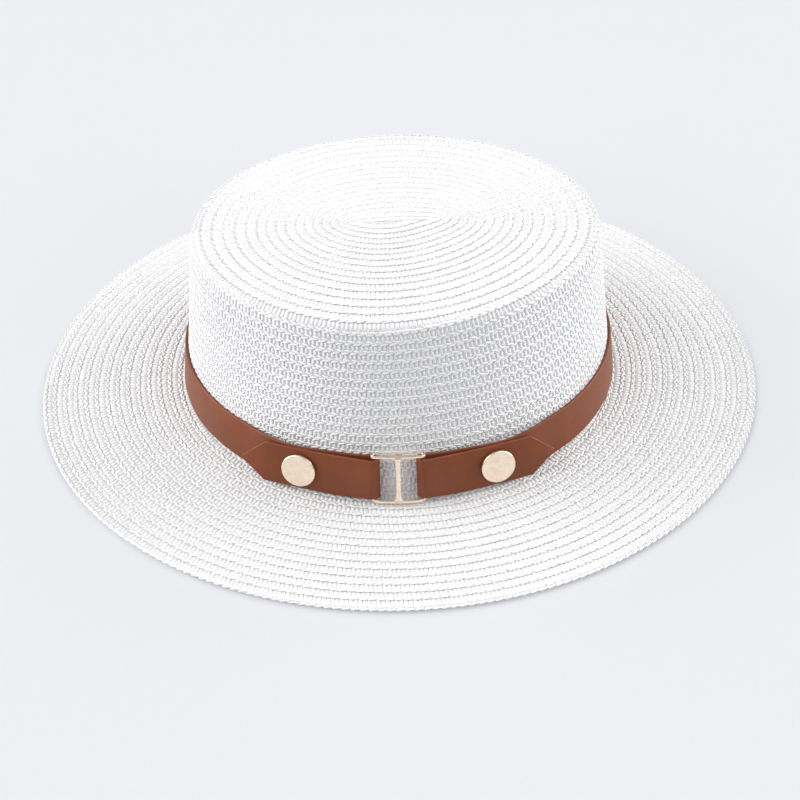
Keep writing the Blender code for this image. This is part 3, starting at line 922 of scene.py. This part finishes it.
def stud_points(side):
    """A stud's head as a disc in polar rows: its face is slightly domed and lightly hammered, by two
    crossed waves of about 1.6 mm, its edge is rounded and its back is flat."""
    middle = on_wall(side * STUD_REACH, BAND_MIDDLE, layer_out(side, STUD_REACH))
    ahead = on_wall(side * STRAP_REACH, BAND_MIDDLE, layer_out(side, STRAP_REACH)) - middle
    upper = on_wall(side * STUD_REACH, BAND_TOP, layer_out(side, STUD_REACH)) - middle
    normal = np.cross(ahead * side, upper)
    normal /= np.linalg.norm(normal)
    along = np.cross(upper, normal)
    along /= np.linalg.norm(along)
    upright = np.cross(normal, along)
    foot = LEATHER / 2 + GAP
    edge = STUD_DIAMETER / 2
    flat, level = edge - STUD_EDGE, STUD_THICKNESS - STUD_EDGE
    turn = np.linspace(0, PI / 2, 6)[1:]
    radius = np.concatenate([np.linspace(0, flat, FACE_RINGS), flat + STUD_EDGE * np.sin(turn),
                             [edge, edge - 0.0003, POST_RADIUS, POST_RADIUS, 0]])
    height = np.concatenate([np.full(FACE_RINGS, STUD_THICKNESS), level + STUD_EDGE * np.cos(turn),
                             [0.0003, 0, 0, -LEATHER, -LEATHER]])
    height[:FACE_RINGS] += STUD_DOME * (1 - np.linspace(0, 1, FACE_RINGS) ** 2) - STUD_DOME / 3
    angle = np.arange(STUD_SIDES) * 2 * PI / STUD_SIDES
    r, t = np.meshgrid(radius, angle, indexing="ij")
    h = np.repeat(height[:, None], STUD_SIDES, axis=1) + foot
    x, y = r * np.cos(t) / MM, r * np.sin(t) / MM
    waves = np.sin(3.9 * x + 1.3 * np.sin(2.1 * y)) * np.sin(4.1 * y + 1.1 * np.sin(1.7 * x + side))
    on_face = (np.arange(len(radius)) < FACE_RINGS)[:, None]
    h = h + waves * np.clip((edge - 0.0008 - r) / 0.0006, 0, 1) * on_face * HAMMER_DEPTH
    points = (middle + along * (r * np.cos(t))[..., None] + upright * (r * np.sin(t))[..., None]
              + normal * h[..., None])
    return points.reshape(-1, 3), triangles(ring_faces(len(radius), STUD_SIDES))


class BOATER_OT_metal(bpy.types.Operator):
    """Cast the slide's bars and turn and hammer the two studs"""

    bl_idname = "boater.metal"
    bl_label = "Slide and Studs"

    def execute(self, context):
        material = gold_material(context.scene.boater_colours)
        front = SIDE_BAR_OUT + SLIDE_DEPTH
        low = BAND_FLOOR - GAP - WIRE / 2 + SLIDE_RAISE
        high = BAND_TOP + GAP + WIRE / 2 + SLIDE_RAISE
        rise = on_wall(0.0, high, 0.0) - on_wall(0.0, low, 0.0)
        rise = (rise / np.linalg.norm(rise))[None]
        out = on_wall(0.0, low, 1.0) - on_wall(0.0, low, 0.0)
        side = np.cross(rise, out[None])
        bars = [sweep(hook_path(height, front, bend), rise, half_wide, half_deep)
                for height, (half_wide, half_deep, bend) in ((high, TOP_BAR), (low, FOOT_BAR))]
        for distance in (-SIDE_BAR_REACH, SIDE_BAR_REACH):
            column = on_wall(np.full(12, distance), np.linspace(low, high, 12), SIDE_BAR_OUT)
            bars.append(sweep(column, side, *SIDE_BAR))
        run = np.linspace(-SIDE_BAR_REACH, SIDE_BAR_REACH, 14)
        bars.append(sweep(on_wall(run, high, SIDE_BAR_OUT - 0.0004), rise, *BACK_BAR))
        share = np.linspace(0, 1, 30)
        centre = on_wall(np.zeros(30), low + (high - low) * share, front + 0.0001)
        bars.append(sweep(centre, side, *CENTRE_BAR, np.interp(share, *zip(*BAR_LINE))))
        points, faces = join(bars)
        slide = mesh_object("gold_slide", points, faces, material)
        turned_out(slide)
        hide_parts("buckle")
        for name, side_sign in (("stud_left", -1), ("stud_right", 1)):
            points, faces = stud_points(side_sign)
            stud = mesh_object("gold_" + name, points, faces, material)
            turned_out(stud, 1e-6)
            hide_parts(name)
        return {"FINISHED"}


# ---- stage


def sun_light(name, turn, up, spread, power):
    """A broad far light: degrees round from the front toward the right, degrees up, its width."""
    light = bpy.data.lights.new(name, "SUN")
    light.energy = power
    light.angle = np.radians(spread)
    made = bpy.data.objects.new(name, light)
    round_from, rise = np.radians(turn), np.radians(up)
    place = Vector((np.sin(round_from) * np.cos(rise), -np.cos(round_from) * np.cos(rise),
                    np.sin(rise)))
    made.location = place
    made.rotation_euler = (-place).to_track_quat("-Z", "Y").to_euler()
    bpy.context.scene.collection.objects.link(made)
    return made


class BOATER_OT_stage(bpy.types.Operator):
    """Set the pale floor, the soft light and the camera"""

    bl_idname = "boater.stage"
    bl_label = "Floor, Light and Camera"

    def execute(self, context):
        scene = context.scene
        floor = bpy.data.meshes.new("floor")
        corners = [(x * FLOOR_REACH, y * FLOOR_REACH, -FLOOR_DROP)
                   for x, y in ((-1, -1), (1, -1), (1, 1), (-1, 1))]
        floor.from_pydata(corners, [], [(0, 1, 2, 3)])
        ground = bpy.data.objects.new("floor", floor)
        scene.collection.objects.link(ground)
        floor.materials.append(floor_material(scene.boater_colours))
        world = bpy.data.worlds.new("studio")
        world.use_nodes = True
        world.node_tree.nodes["Background"].inputs[0].default_value = (1.0, 1.0, 1.0, 1.0)
        world.node_tree.nodes["Background"].inputs[1].default_value = SKY
        scene.world = world
        flagged_off = bpy.data.collections.new("flagged_off")
        flagged_off.objects.link(ground)
        flagged_off.collection_objects[0].light_linking.link_state = "EXCLUDE"
        for sun in SUNS:
            light = sun_light(*sun)
            if light.name in FLAGGED:
                light.light_linking.receiver_collection = flagged_off
        self.camera(scene)
        scene.view_settings.view_transform = "Standard"
        return {"FINISHED"}

    def camera(self, scene):
        """The camera at the photograph's angle, looking at the frame's origin. The lens is shifted so
        that the origin lands on its own place in the picture."""
        up_angle, turn, roll = np.radians([CAMERA_UP, CAMERA_TURN, CAMERA_ROLL])
        away = Vector((-np.sin(turn) * np.cos(up_angle), -np.cos(turn) * np.cos(up_angle),
                       np.sin(up_angle)))
        right = (-away).cross(Vector((0, 0, 1))).normalized()
        up = right.cross(-away)
        right, up = (right * np.cos(roll) + up * np.sin(roll),
                     up * np.cos(roll) - right * np.sin(roll))
        data = bpy.data.cameras.new("camera")
        data.sensor_width = SENSOR
        data.lens = SENSOR * PIXELS_A_METRE * CAMERA_DISTANCE / PICTURE_SIDE
        data.shift_x = (PICTURE_SIDE / 2 - PICTURE_ORIGIN[0]) / PICTURE_SIDE
        data.shift_y = (PICTURE_ORIGIN[1] - PICTURE_SIDE / 2) / PICTURE_SIDE
        data.clip_start = 0.01
        made = bpy.data.objects.new("camera", data)
        turned = [(right[k], up[k], away[k], away[k] * CAMERA_DISTANCE) for k in range(3)]
        made.matrix_world = Matrix(turned + [(0, 0, 0, 1)])
        scene.collection.objects.link(made)
        scene.camera = made


# ---- settings, panel and main


class BoaterSizes(bpy.types.PropertyGroup):
    """Sizes of the braid that a user may change."""

    rung_spacing: FloatProperty(name="Rung spacing", default=0.0019, unit="LENGTH",
                                description="Distance between the rungs of a row's ladder")
    strand_length: FloatProperty(name="Strand pitch", default=0.0037, unit="LENGTH",
                                 description="Distance between two strands of a row's ridge")


def colour_setting(name, code, description):
    """A colour that a user may change, preset from an sRGB hex code."""
    return FloatVectorProperty(name=name, description=description, default=linear(code)[:3],
                               subtype="COLOR", min=0.0, max=1.0)


class BoaterColours(bpy.types.PropertyGroup):
    """Colours of the hat and its floor that a user may change."""

    straw: colour_setting("Straw", "ebebec", "Colour of the bleached straw")
    leather: colour_setting("Leather", "753a1e", "Colour of the strap's face")
    leather_edge: colour_setting("Leather edge", "7c4027", "Colour of the strap's cut edges")
    gold: colour_setting("Plating", "ffe8d2", "Colour of the plating of slide and studs")
    floor: colour_setting("Floor", "e3e4e7", "Colour of the studio floor")


OPERATORS = (BOATER_OT_shell, BOATER_OT_braid, BOATER_OT_strap, BOATER_OT_metal, BOATER_OT_stage)


class BOATER_PT_panel(bpy.types.Panel):
    """The hat's settings and its build steps"""

    bl_idname = "BOATER_PT_panel"
    bl_label = "Straw Boater"
    bl_space_type = "VIEW_3D"
    bl_region_type = "UI"
    bl_category = "Boater"

    def draw(self, context):
        for group in (context.scene.boater_sizes, context.scene.boater_colours):
            for name in group.bl_rna.properties.keys():
                if name not in ("rna_type", "name"):
                    self.layout.prop(group, name)
        for operator in OPERATORS:
            self.layout.operator(operator.bl_idname)


CLASSES = (BoaterSizes, BoaterColours) + OPERATORS + (BOATER_PT_panel,)


def register():
    """Registers the classes and hangs the settings on the scene."""
    for item in CLASSES:
        bpy.utils.register_class(item)
    bpy.types.Scene.boater_sizes = PointerProperty(type=BoaterSizes)
    bpy.types.Scene.boater_colours = PointerProperty(type=BoaterColours)


def unregister():
    """Takes the settings off the scene and unregisters the classes."""
    del bpy.types.Scene.boater_sizes
    del bpy.types.Scene.boater_colours
    for item in reversed(CLASSES):
        bpy.utils.unregister_class(item)


def main():
    """Registers the add-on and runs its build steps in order."""
    register()
    bpy.ops.boater.stage()
    bpy.ops.boater.shell()
    bpy.ops.boater.braid()
    bpy.ops.boater.strap()
    bpy.ops.boater.metal()


if __name__ == "__main__":
    main()
